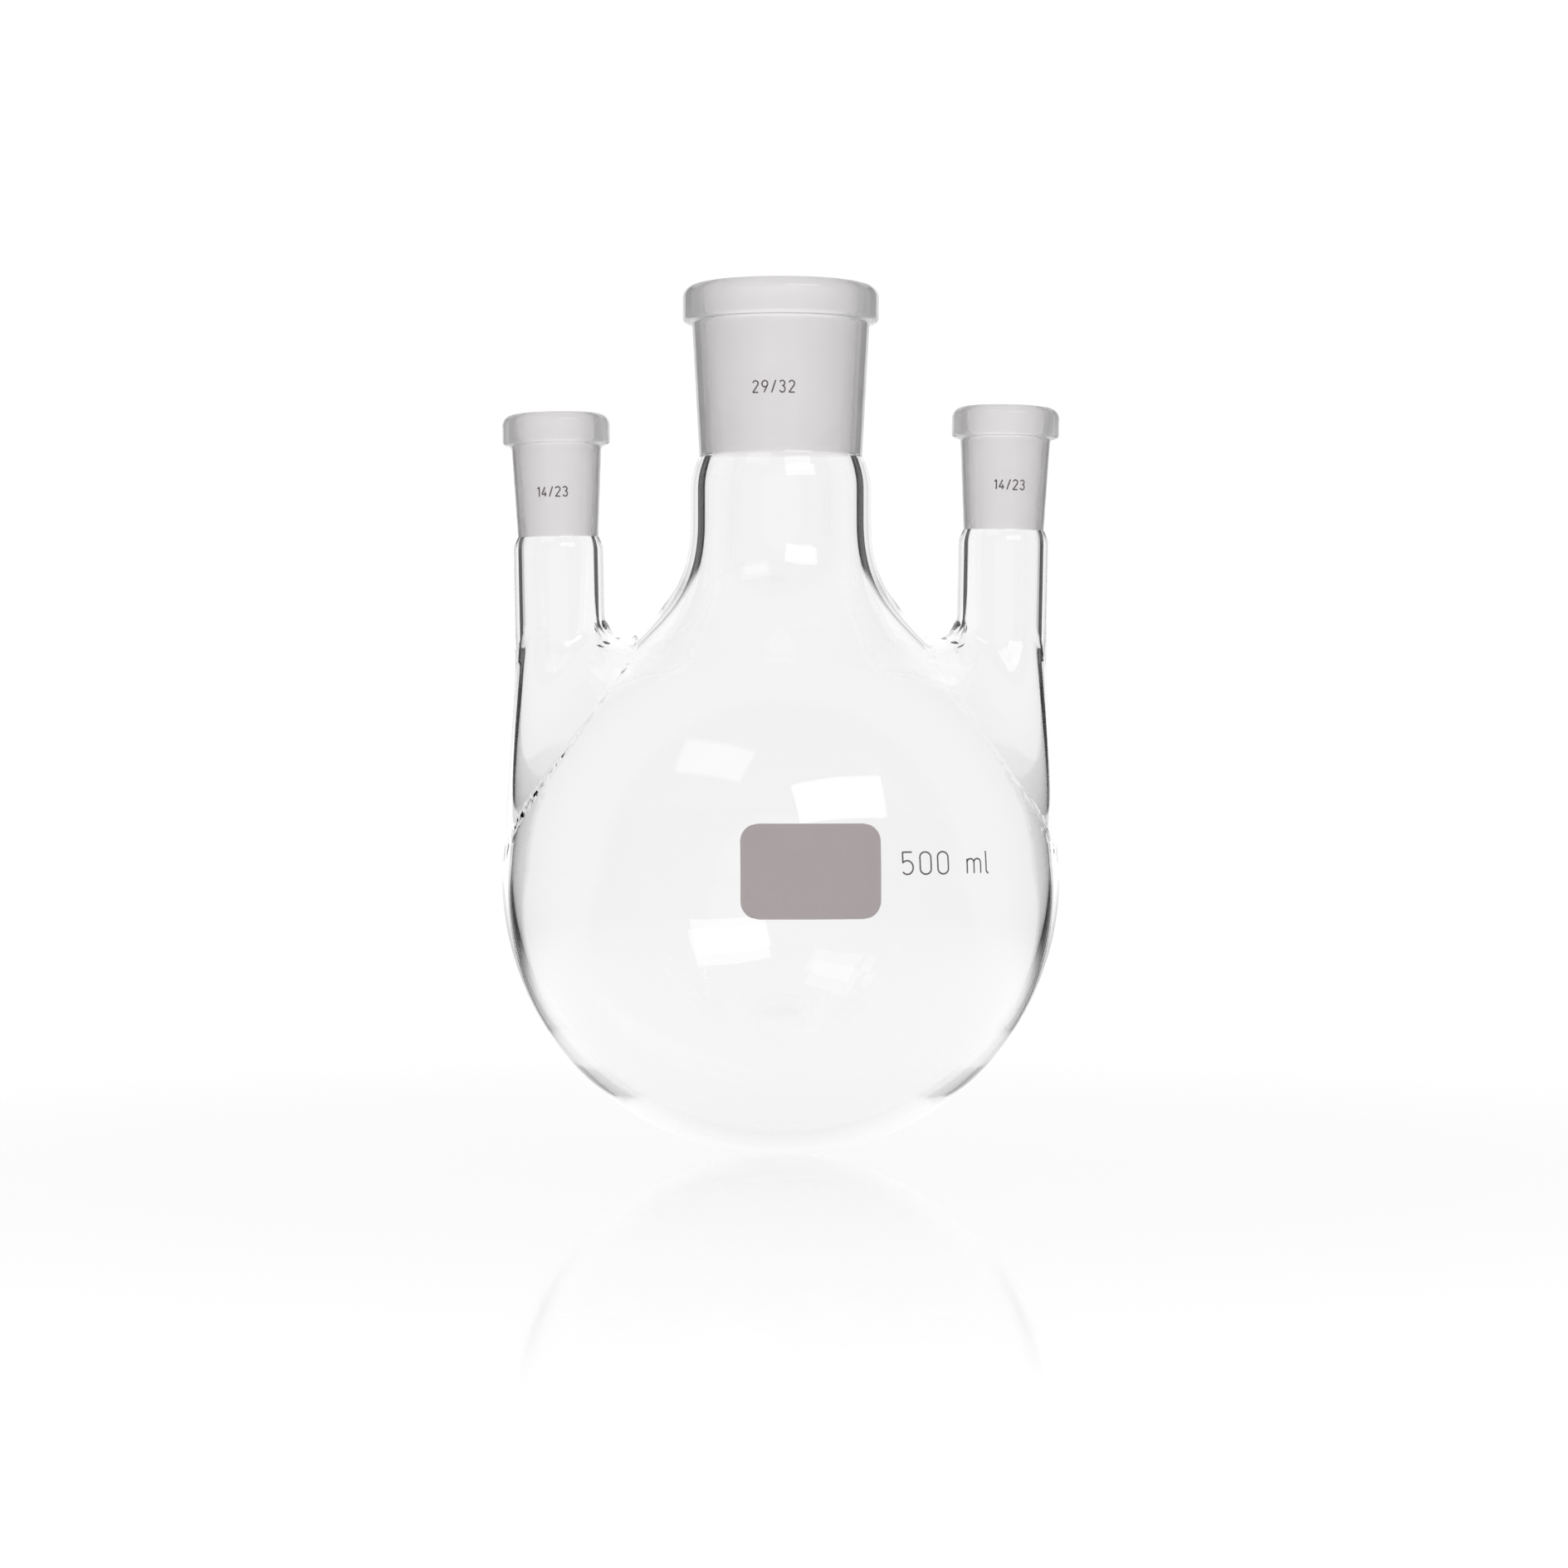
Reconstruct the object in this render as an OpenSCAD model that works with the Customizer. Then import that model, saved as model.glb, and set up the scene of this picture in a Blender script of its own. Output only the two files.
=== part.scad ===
// Round-bottom flask with three necks: one piece of blown borosilicate glass.
// The centre neck ends in a 29/32 ground socket and each side neck in a 14/23 one.
// Z points up the centre neck, X runs through the two side necks, and the origin is
// the lowest point of the bulb. All sizes are in millimetres.

/* [Bulb] */
// Outside diameter of the round bulb
bulb_d = 105; // [98:1:120]
// Wall of the bulb at its equator and above it
bulb_wall = 1.9; // [1.2:0.1:2.6]
// Wall at the lowest point, where the blown glass is left heavier
floor_wall = 3.6; // [2:0.1:5]

/* [Ground joints] */
// How far a ground bore runs for each unit that its diameter narrows
ground_taper = 10; // [8:1:12]
// Radius of the fire-polished edge between a rim and its ground bore
mouth_round = 0.8; // [0.4:0.1:1.2]

/* [Centre neck] */
// Height of the centre rim above the lowest point of the bulb
centre_height = 164; // [155:0.5:185]
// Diameter of the centre ground bore at its wide end
centre_bore_d = 29.2; // [24:0.1:32]
// Length of the centre ground bore
centre_bore_length = 32; // [26:1:36]
// Wall round the narrow end of the centre ground bore
centre_waist_wall = 2.4; // [1.8:0.1:3]
// Wall round the centre ground bore just under the rim
centre_mouth_wall = 2.5; // [2:0.1:3.5]
// How far the centre rim stands out past its socket
centre_rim_out = 1.8; // [1.2:0.1:2.6]
// Height of the centre rim
centre_rim_h = 7; // [5.5:0.1:8]
// Radius of the upper edge of the centre rim
centre_rim_round = 2.3; // [1:0.1:2.4]
// Outside diameter of the plain tube under the centre socket
centre_tube_d = 34.1; // [30:0.1:37]
// Wall of that tube
centre_tube_wall = 2.7; // [1.8:0.1:3.2]
// Height over which the centre socket swells out into its tube
centre_swell = 6.5; // [4:0.5:9]
// How far the centre neck's sweep runs out from the tube before it lands on the bulb
sweep_reach = 16.4; // [12:0.2:18]
// How far above the corner of tube and bulb the sweep starts
sweep_rise = 13; // [9:0.5:16]
// How closely the sweep keeps to that corner
sweep_hug = 1.55; // [1:0.05:2]

/* [Side necks] */
// How far each side tube's outer wall stands inside the bulb's widest point
side_inset = 3.2; // [2.5:0.1:5]
// How far each side neck leans outwards, in degrees
side_lean = 1.1; // [0:0.1:3]
// Height of the left rim above the lowest point of the bulb
left_height = 139.7; // [132:0.1:150]
// Height of the right rim above the lowest point of the bulb
right_height = 141; // [132:0.1:150]
// Diameter of each side ground bore at its wide end
side_bore_d = 14.5; // [12.5:0.1:16]
// Length of each side ground bore
side_bore_length = 23; // [18:1:25]
// Wall round the narrow end of each side ground bore
side_waist_wall = 1.5; // [1.2:0.1:2]
// Wall round each side ground bore just under the rim
side_mouth_wall = 1.5; // [1.2:0.1:2.4]
// How far each side rim stands out past its socket
side_rim_out = 1.7; // [1:0.1:2.4]
// Height of each side rim
side_rim_h = 5.8; // [5:0.1:7]
// Radius of the upper edge of each side rim
side_rim_round = 2; // [0.8:0.1:2.1]
// Outside diameter of the plain tube under each side socket
side_tube_d = 17; // [15:0.1:18.5]
// Wall of that tube
side_tube_wall = 1.9; // [1.2:0.1:2.3]
// Height over which each side socket swells out into its tube
side_swell = 3; // [2:0.5:5]

/* [Side neck roots] */
// Radius of the fillet between each side tube and the top of the bulb
root_fillet = 4.4; // [2:0.1:5]
// How far above the corner of tube and bulb the root starts on its outward side
root_rise = 2.6; // [1:0.1:8]
// How much further than a fillet the root runs down the bulb on its outward side
root_reach = 13; // [6:1:14]
// How much further it runs there towards the front and the back
root_spread = 10; // [0:1:12]

/* [Writing field] */
// Width of the fired enamel field for pencil notes
field_w = 25.1; // [16:0.1:30]
// Height of the field
field_h = 16.9; // [10:0.1:22]
// Radius of its corners
field_corner = 3.2; // [1:0.1:4.5]
// Thickness of the enamel
field_t = 0.1; // [0.05:0.01:0.2]
// Height of its middle above the lowest point of the bulb
field_z = 55; // [46:0.5:62]
// How far it is turned to the right of the front, in degrees
field_turn = 6; // [-10:1:12]

/* [Hidden] */

bulb_r = bulb_d / 2;
cavity_r = bulb_r - bulb_wall;
centre_tube_r = centre_tube_d / 2;
side_tube_r = side_tube_d / 2;
side_offset = bulb_r - side_inset - side_tube_r; // from the middle of the bulb to a side neck's axis

round_fn = 96;      // facets of the round surfaces when they are drawn
sweep_steps = 14;   // cone bands in the centre sweep
corner_steps = 5;   // cone bands in a rounded edge
swell_steps = 8;    // cone bands where a socket swells into its tube
root_sides = 48;    // sides of each side neck's root
root_steps = 8;     // rings down each root
seat = 0.03;        // a blend's last edge stands this far off the bulb, so that they cross
bite = 1.2;         // and then goes this far into it
root_top = 4;       // each root's plain collar runs this far up its tube

// Points of an arc about a centre, from one angle to another
function arc(centre, r, from, to, steps) =
    [for (i = [0:steps]) let (a = from + (to - from) * i / steps) centre + r * [cos(a), sin(a)]];

// Points of a shoulder from one [radius, height] up to another, upright below and bent in above
function shoulder(from, to, steps) =
    [for (i = [0:steps]) let (t = i / steps)
        [to[0] + (from[0] - to[0]) * cos(90 * t), from[1] + (to[1] - from[1]) * t]];

// Radius of a ground bore at a depth under its rim
function bore_r(bore_d, depth) = bore_d / 2 - depth / ground_taper / 2;

/* Points of a conic that leads from an upright tube down onto a ball, as [distance from the axis,
   height]. It starts at a height on the tube and lands at a point of the ball, where the ball falls
   by slope for each unit outwards. The last point stands off the ball by its share of lift. */
function conic(tube_r, start_z, landing, slope, hug, lift, steps) =
    let (corner = [tube_r, landing[1] + (landing[0] - tube_r) * slope])
    [for (i = [0:steps])
        let (t = i / steps, p = (1 - t) * (1 - t), q = 2 * hug * t * (1 - t), s = t * t)
        (p * [tube_r, start_z] + q * corner + s * (landing + lift)) / (p + q + s)];

// Foot of the centre neck: its tube sweeps out onto the ball, with its end seated on the ball
function sweep_foot(tube_r, ball_r) =
    let (land = asin((centre_tube_r + sweep_reach) / bulb_r),
         down = [sin(land), cos(land)],
         start_z = bulb_r * cos(land) + sweep_reach * tan(land) + sweep_rise,
         points = conic(tube_r, start_z, ball_r * down, tan(land), sweep_hug, seat * down,
                        sweep_steps))
    concat([[0, down[1] * (ball_r - bite)], down * (ball_r - bite)],
           [for (i = [sweep_steps:-1:0]) points[i]]);

// Outside of a socket, from the top of its tube to the middle of its rim
function socket_outside(top, tube_r, bore_d, bore_length, waist_wall, mouth_wall, rim_out,
                        rim_h, rim_round, swell) =
    let (waist_z = top - bore_length,
         waist_r = bore_r(bore_d, bore_length) + waist_wall,
         under_rim = top - rim_h,
         mouth_r = bore_r(bore_d, rim_h) + mouth_wall,
         rim_r = mouth_r + rim_out,
         low_round = rim_out / 2)
    concat(shoulder([tube_r, waist_z - swell], [waist_r, waist_z], swell_steps),
           [[mouth_r, under_rim - low_round]],
           arc([mouth_r + low_round, under_rim - low_round], low_round, 180, 90, corner_steps),
           arc([rim_r - low_round, under_rim + low_round], low_round, -90, 0, corner_steps),
           arc([rim_r - rim_round, top - rim_round], rim_round, 0, 90, corner_steps),
           [[0, top]]);

// Bore of a socket, from the top of its tube out through its mouth
function socket_inside(top, tube_r, bore_d, bore_length, swell) =
    let (narrow_z = top - bore_length, wide_r = bore_d / 2)
    concat(shoulder([tube_r, narrow_z - swell], [bore_r(bore_d, bore_length), narrow_z],
                    swell_steps),
           arc([wide_r + mouth_round, top - mouth_round], mouth_round, 180, 90, corner_steps),
           [[wide_r + mouth_round, top + bite], [0, top + bite]]);

// Turned about the neck's axis, with the seam at the back
module turned(points) rotate([0, 0, 90]) rotate_extrude($fn = round_fn) polygon(points);

/* The root of a side neck is worked out in half-planes through the neck's own axis, one for each
   angle a, which is 0 outwards. There the ball is cut in a circle with its middle beside the axis. */
function cut_x(a) = -side_offset * cos(a);
function cut_r(a, ball_r) = sqrt(pow(ball_r, 2) - pow(side_offset * sin(a), 2));

// Share of the long outward blend at an angle: 1 outwards, 0 towards the centre neck
function outward(a) = (1 + cos(a)) / 2;

// Angle at which the root lands on the ball, as seen from the middle of that circle
function root_landing(a) =
    let (r = cut_r(a, bulb_r),
         x = side_tube_r + root_fillet - cut_x(a),
         fillet = atan2(sqrt(pow(r + root_fillet, 2) - x * x), x))
    fillet - (root_reach * outward(a) + root_spread * pow(sin(a), 2)) / r * 180 / PI;

// Height at which the root leaves the tube, over the corner of the tube and the ball's slope there
function root_start(a) =
    let (r = cut_r(a, bulb_r), land = root_landing(a))
    r * sin(land) + (cut_x(a) + r * cos(land) - side_tube_r) / tan(land)
    + root_rise * outward(a) + root_fillet * tan(root_landing(180) / 2) * (1 - outward(a));

// The root's line in one half-plane, from the tube down to the ball
function root_curve(a, tube_r, ball_r) =
    let (land = root_landing(a), down = [cos(land), sin(land)])
    conic(tube_r, root_start(a), [cut_x(a), 0] + cut_r(a, ball_r) * down, cos(land) / sin(land),
          cos(land / 2), seat * down, root_steps);

// A closed collar between a tube and a ball, wide enough to hold the tube's round wall
module root(tube_r, ball_r) {
    sides = [for (k = [0:root_sides - 1]) 360 * k / root_sides];
    top_z = max([for (a = sides) root_start(a)]) + root_top;
    collar_r = (tube_r + seat) / cos(180 / root_sides);
    rings = [for (a = sides)
        let (curve = root_curve(a, collar_r, ball_r), land = root_landing(a))
        concat([[collar_r, top_z]], curve,
               [curve[root_steps] - [cos(land), sin(land)] * (bite + seat)])];
    count = len(rings[0]);
    points = concat(
        [for (k = [0:root_sides - 1], p = rings[k]) [p[0] * cos(sides[k]), p[0] * sin(sides[k]), p[1]]],
        [[0, 0, top_z], [0, 0, rings[root_sides / 4][count - 1][1]]]);
    top_middle = root_sides * count;
    low_middle = top_middle + 1;
    faces = [for (k = [0:root_sides - 1])
        let (here = k * count, next = (k + 1) % root_sides * count)
        each concat(
            [[top_middle, next, here]],
            [for (i = [0:count - 2]) each [[here + i, next + i, next + i + 1],
                                           [here + i, next + i + 1, here + i + 1]]],
            [[low_middle, here + count - 1, next + count - 1]])];
    polyhedron(points, faces);
}

// Height of a side rim along its own axis, measured from the middle of the bulb
function side_top(height) = (height - bulb_r + side_offset * sin(side_lean)) / cos(side_lean);

// Stands a side neck in its place on the right, leaning about the middle of the bulb
module beside_bulb() rotate([0, side_lean, 0]) translate([side_offset, 0, 0]) children();

module side_neck_outside(height) beside_bulb() {
    root(side_tube_r, bulb_r);
    turned(concat([[0, root_start(180)], [side_tube_r, root_start(180)]],
                  socket_outside(side_top(height), side_tube_r, side_bore_d, side_bore_length,
                                 side_waist_wall, side_mouth_wall, side_rim_out, side_rim_h,
                                 side_rim_round, side_swell)));
}

module side_neck_inside(height) beside_bulb() {
    root(side_tube_r - side_tube_wall, cavity_r);
    turned(concat([[0, root_start(180)], [side_tube_r - side_tube_wall, root_start(180)]],
                  socket_inside(side_top(height), side_tube_r - side_tube_wall, side_bore_d,
                                side_bore_length, side_swell)));
}

module centre_neck_outside()
    turned(concat(sweep_foot(centre_tube_r, bulb_r),
                  socket_outside(centre_height - bulb_r, centre_tube_r, centre_bore_d,
                                 centre_bore_length, centre_waist_wall, centre_mouth_wall,
                                 centre_rim_out, centre_rim_h, centre_rim_round, centre_swell)));

module centre_neck_inside()
    turned(concat(sweep_foot(centre_tube_r - centre_tube_wall, cavity_r),
                  socket_inside(centre_height - bulb_r, centre_tube_r - centre_tube_wall,
                                centre_bore_d, centre_bore_length, centre_swell)));

// Raised by the thickness of the enamel, with rounded corners
module writing_field()
    intersection() {
        rotate([0, 0, 90]) sphere(r = bulb_r + field_t, $fn = round_fn);
        rotate([0, 0, field_turn]) translate([0, 0, field_z - bulb_r]) rotate([90, 0, 0])
            linear_extrude(height = bulb_d) {
                square([field_w - 2 * field_corner, field_h], center = true);
                square([field_w, field_h - 2 * field_corner], center = true);
                for (x = [-1, 1], y = [-1, 1])
                    translate([x * (field_w / 2 - field_corner), y * (field_h / 2 - field_corner)])
                        circle(r = field_corner, $fn = round_fn / 2);
            }
    }

// The glass as if it were solid
module outside() {
    color("azure") {
        rotate([0, 0, 90]) sphere(r = bulb_r, $fn = round_fn);
        centre_neck_outside();
        side_neck_outside(right_height);
        mirror([1, 0, 0]) side_neck_outside(left_height);
    }
    color("rosybrown") writing_field();
}

// The room inside: the lower ball is raised, which leaves the floor heavier than the wall
module inside() {
    intersection() {
        rotate([0, 0, 90]) sphere(r = cavity_r, $fn = round_fn);
        translate([0, 0, floor_wall - bulb_wall]) rotate([0, 0, 90])
            sphere(r = cavity_r, $fn = round_fn);
    }
    centre_neck_inside();
    side_neck_inside(right_height);
    mirror([1, 0, 0]) side_neck_inside(left_height);
}

module flask()
    translate([0, 0, bulb_r]) difference() {
        outside();
        inside();
    }

flask();
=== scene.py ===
import math
import bmesh
import bpy
from mathutils import Matrix, Vector


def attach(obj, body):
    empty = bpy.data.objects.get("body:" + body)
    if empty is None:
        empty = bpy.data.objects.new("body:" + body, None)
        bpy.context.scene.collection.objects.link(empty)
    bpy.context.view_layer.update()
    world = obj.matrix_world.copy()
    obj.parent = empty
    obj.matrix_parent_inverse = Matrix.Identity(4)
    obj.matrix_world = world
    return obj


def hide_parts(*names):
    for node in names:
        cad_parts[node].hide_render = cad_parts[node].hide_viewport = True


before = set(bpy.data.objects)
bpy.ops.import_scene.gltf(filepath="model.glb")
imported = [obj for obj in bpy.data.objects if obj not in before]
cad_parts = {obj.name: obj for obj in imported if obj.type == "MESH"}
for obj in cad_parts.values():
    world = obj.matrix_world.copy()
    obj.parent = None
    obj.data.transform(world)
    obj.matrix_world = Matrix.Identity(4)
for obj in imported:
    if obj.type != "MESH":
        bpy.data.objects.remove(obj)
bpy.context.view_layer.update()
print("frame loaded")

mm = 0.001  # everything below is worked out in millimetres and brought to metres at the end
scene = bpy.context.scene


# node graphs written as sums

class Wire:
    def __init__(self, graph, socket):
        self.graph, self.socket = graph, socket

    def __add__(self, other):
        return self.graph.maths("ADD", self, other)

    def __sub__(self, other):
        return self.graph.maths("SUBTRACT", self, other)

    def __rsub__(self, other):
        return self.graph.maths("SUBTRACT", other, self)

    def __mul__(self, other):
        return self.graph.maths("MULTIPLY", self, other)

    def __truediv__(self, other):
        return self.graph.maths("DIVIDE", self, other)

    def __rtruediv__(self, other):
        return self.graph.maths("DIVIDE", other, self)

    def __pow__(self, other):
        return self.graph.maths("POWER", self, other)

    def __neg__(self):
        return self * -1

    __radd__, __rmul__ = __add__, __mul__


class Graph:
    def __init__(self, tree):
        self.tree = tree
        tree.nodes.clear()

    def node(self, kind, settings=None, feeds=None):  # settings first, because they change the sockets
        made = self.tree.nodes.new(kind)
        for name, value in (settings or {}).items():
            setattr(made, name, value)
        for key, value in (feeds or {}).items():
            self.feed(made.inputs[key], value)
        return made

    def feed(self, socket, value):
        if isinstance(value, Wire):
            self.tree.links.new(value.socket, socket)
        elif isinstance(value, bpy.types.NodeSocket):
            self.tree.links.new(value, socket)
        elif value is not None:
            socket.default_value = value

    def out(self, kind, settings=None, feeds=None, name=0):
        return Wire(self, self.node(kind, settings, feeds).outputs[name])

    def maths(self, operation, *values):
        return self.out("ShaderNodeMath", {"operation": operation}, dict(enumerate(values)))

    def least(self, a, b):
        return self.maths("MINIMUM", a, b)

    def most(self, a, b):
        return self.maths("MAXIMUM", a, b)

    def root(self, a):
        return self.maths("SQRT", a)

    def split(self, vector):
        parts = self.node("ShaderNodeSeparateXYZ", None, {0: vector}).outputs
        return [Wire(self, part) for part in parts]

    def join(self, x, y, z):
        return self.out("ShaderNodeCombineXYZ", None, {0: x, 1: y, 2: z})

    def choose(self, test, otherwise, chosen):  # test runs from 0 to 1
        return test * (chosen - otherwise) + otherwise


def newTree(name, inputs, outputs):
    tree = bpy.data.node_groups.new(name, "GeometryNodeTree")
    for label, kind, value in inputs:
        socket = tree.interface.new_socket(label, in_out="INPUT", socket_type="NodeSocket" + kind)
        if value is not None:
            socket.default_value = value
    for label, kind in outputs:
        tree.interface.new_socket(label, in_out="OUTPUT", socket_type="NodeSocket" + kind)
    graph = Graph(tree)
    given = graph.node("NodeGroupInput")
    result = graph.node("NodeGroupOutput")
    wires = {socket.name: Wire(graph, socket) for socket in given.outputs if socket.name}
    return tree, graph, wires, result


def endTree(g, given, result, shape):  # the end of each tree
    real = g.node("GeometryNodeRealizeInstances", None, {0: shape.outputs[0]})
    dressed = g.node("GeometryNodeSetMaterial", None,
                     {"Geometry": real.outputs[0], "Material": given["Material"]})
    g.feed(result.inputs[0], dressed.outputs[0])


def grow(name, mesh, tree, settings):  # runs a tree on a mesh and keeps the result as a plain mesh
    holder = bpy.data.objects.new(name, mesh)
    scene.collection.objects.link(holder)
    modifier = holder.modifiers.new(name, "NODES")
    modifier.node_group = tree
    for item in tree.interface.items_tree:
        if item.item_type == "SOCKET" and item.in_out == "INPUT" and item.name in settings:
            modifier[item.identifier] = settings[item.name]
    bpy.context.view_layer.update()
    grown = bpy.data.meshes.new_from_object(holder.evaluated_get(bpy.context.evaluated_depsgraph_get()))
    grown.name = name
    holder.modifiers.clear()
    bpy.data.objects.remove(holder)
    return grown


# the blown body: bulb, centre sweep and side roots, as one rule

body = {
    "Bulb radius": 52.5,
    "Wall": 1.9,
    "Extra floor": 1.7,      # how much heavier the glass is at the lowest point
    "Centre radius": 17.05,
    "Centre wall": 2.7,
    "Sweep rise": 13.0,      # how far above the corner of tube and bulb the sweep starts
    "Sweep reach": 16.4,     # how far out from the tube it lands on the bulb
    "Sweep hug": 1.55,       # how closely it keeps to that corner
    "Side radius": 8.5,
    "Side wall": 1.9,
    "Side offset": 40.8,
    "Lean": 1.1,             # degrees
    "Root fillet": 4.4,
    "Root rise": 2.6,        # how far above the corner of tube and bulb it starts, outwards
    "Root reach": 13.0,      # how much further than a fillet it runs down the bulb there
    "Root spread": 10.0,     # and towards the front and the back
    "Crotch softness": 1.5,  # how the sweep and a root melt together
    "Cell": 1.3,             # size of the mesh's faces
}
centreCut, sideCut = 69.5, 53.0  # where the turned necks take over, above the bulb's middle
ruleLimits = {
    "out": 45,     # no blend reaches further out from its neck's axis
    "tubeUp": 20,  # a tube counts only above this height over the bulb's middle
    "added": 5,    # the most that a neck adds to the bulb where two of them melt together
    "away": 100,   # a distance that stands for nowhere near
    "floorShare": 0.985,  # how much of the extra floor is reached at the lowest point
    "margin": 2, "marginUp": 6,  # room around the bulb, and above the centre cut
}


def tubeOnBall(g, ball, out, up, tubeR, start, endX, endZ, slope, weight):
    # signed distance to a tube, a ball and the conic that leads from one to the other, in a half-plane;
    # slope is how much the ball falls for each unit outwards where the conic lands
    corner = endZ + (endX - tubeR) * slope
    run, drop = endX - tubeR, start - corner
    t2 = (out - tubeR) / run
    t0 = (up - (1 - t2) * corner - t2 * endZ) / drop
    t1 = 1 - t0 - t2
    fourWeights = weight * weight * 4
    curve = fourWeights * t0 * t2 - t1 * g.maths("ABSOLUTE", t1)
    d2x, d0z = 1 / run, 1 / drop
    d0x = (corner - endZ) / run / drop
    bend = g.maths("ABSOLUTE", t1) * 2
    slopeX = fourWeights * (t2 * d0x + t0 * d2x) + bend * (d0x + d2x)
    slopeZ = fourWeights * t2 * d0z + bend * d0z
    blend = curve / g.most(g.root(slopeX * slopeX + slopeZ * slopeZ), 0.0001)
    outside = g.maths("GREATER_THAN", t2, 1) + g.maths("GREATER_THAN", t0, 1) \
        + g.maths("GREATER_THAN", out, ruleLimits["out"]) + g.maths("LESS_THAN", up, 0)
    tube = out - tubeR + ruleLimits["away"] * g.maths("LESS_THAN", up, ruleLimits["tubeUp"])
    return g.least(g.least(ball, tube), blend + ruleLimits["away"] * outside)


def bodyRule():  # signed distance to the skin that lies Depth of the way into the wall
    tree, g, given, result = newTree(
        "bodyRule",
        [("Point", "Vector", None), ("Depth", "Float", 0.0)]
        + [(name, "Float", value) for name, value in body.items()],
        [("Distance", "Float")])
    depth = given["Depth"]
    x, y, z = g.split(given["Point"])
    far = g.root(x * x + y * y + z * z)
    down = g.most(-z / g.most(far, 1), 0)
    swell = down * g.root(down)  # grows from the equator down
    outerR = given["Bulb radius"]
    ballR = outerR - depth * given["Wall"]
    ball = far - ballR + depth * given["Extra floor"] * swell * ruleLimits["floorShare"]

    # centre neck with its sweep
    outerTube = given["Centre radius"]
    tubeR = outerTube - depth * given["Centre wall"]
    landX = outerTube + given["Sweep reach"]
    landZ = g.root(outerR * outerR - landX * landX)
    start = landZ + given["Sweep reach"] * landX / landZ + given["Sweep rise"]
    inwards = ballR / outerR
    centre = tubeOnBall(g, ball, g.root(x * x + y * y), z, tubeR, start, landX * inwards,
                        landZ * inwards, landX / landZ, given["Sweep hug"])

    # side neck with its root, in the half-plane through the neck's own axis
    lean = given["Lean"] * (math.pi / 180)
    cosLean, sinLean = g.maths("COSINE", lean), g.maths("SINE", lean)
    offset, sideR, fillet = given["Side offset"], given["Side radius"], given["Root fillet"]
    sideways = g.maths("ABSOLUTE", x)
    across = sideways * cosLean - z * sinLean - offset
    up = sideways * sinLean + z * cosLean
    out = g.root(across * across + y * y)
    cosA = across / g.most(out, 0.001)
    sinA = y / g.most(out, 0.001)
    cutX = offset * cosA * -1
    outerCut = g.root(outerR * outerR - offset * offset * sinA * sinA)
    cutR = g.root(ballR * ballR - offset * offset * sinA * sinA)
    outward = (cosA + 1) / 2

    def filletLanding(cutX, cut):
        filletX = sideR + fillet - cutX
        return g.maths("ARCTAN2", g.root((cut + fillet) ** 2 - filletX * filletX), filletX)

    land = filletLanding(cutX, outerCut) \
        - (given["Root reach"] * outward + given["Root spread"] * sinA * sinA) / outerCut
    cosL, sinL = g.maths("COSINE", land), g.maths("SINE", land)
    slope = cosL / sinL
    corner = outerCut * sinL + (cutX + outerCut * cosL - sideR) * slope
    snug = fillet * g.maths("TANGENT", filletLanding(offset, outerR) / 2)
    side = tubeOnBall(g, ball, out, up, sideR - depth * given["Side wall"],
                      corner + g.choose(outward, snug, given["Root rise"]),
                      cutX + cutR * cosL, cutR * sinL, slope, g.root((cosL + 1) / 2))

    # both stand on the ball, and what each adds to it melts into the other
    softness = given["Crotch softness"]
    addCentre = g.least(g.most(ball - centre, 0), ruleLimits["added"])
    addSide = g.least(g.most(ball - side, 0), ruleLimits["added"])
    both = (addCentre ** softness + addSide ** softness) ** (1 / softness)
    g.feed(result.inputs[0], g.least(g.least(centre, side), ball - both))
    return tree


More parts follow.
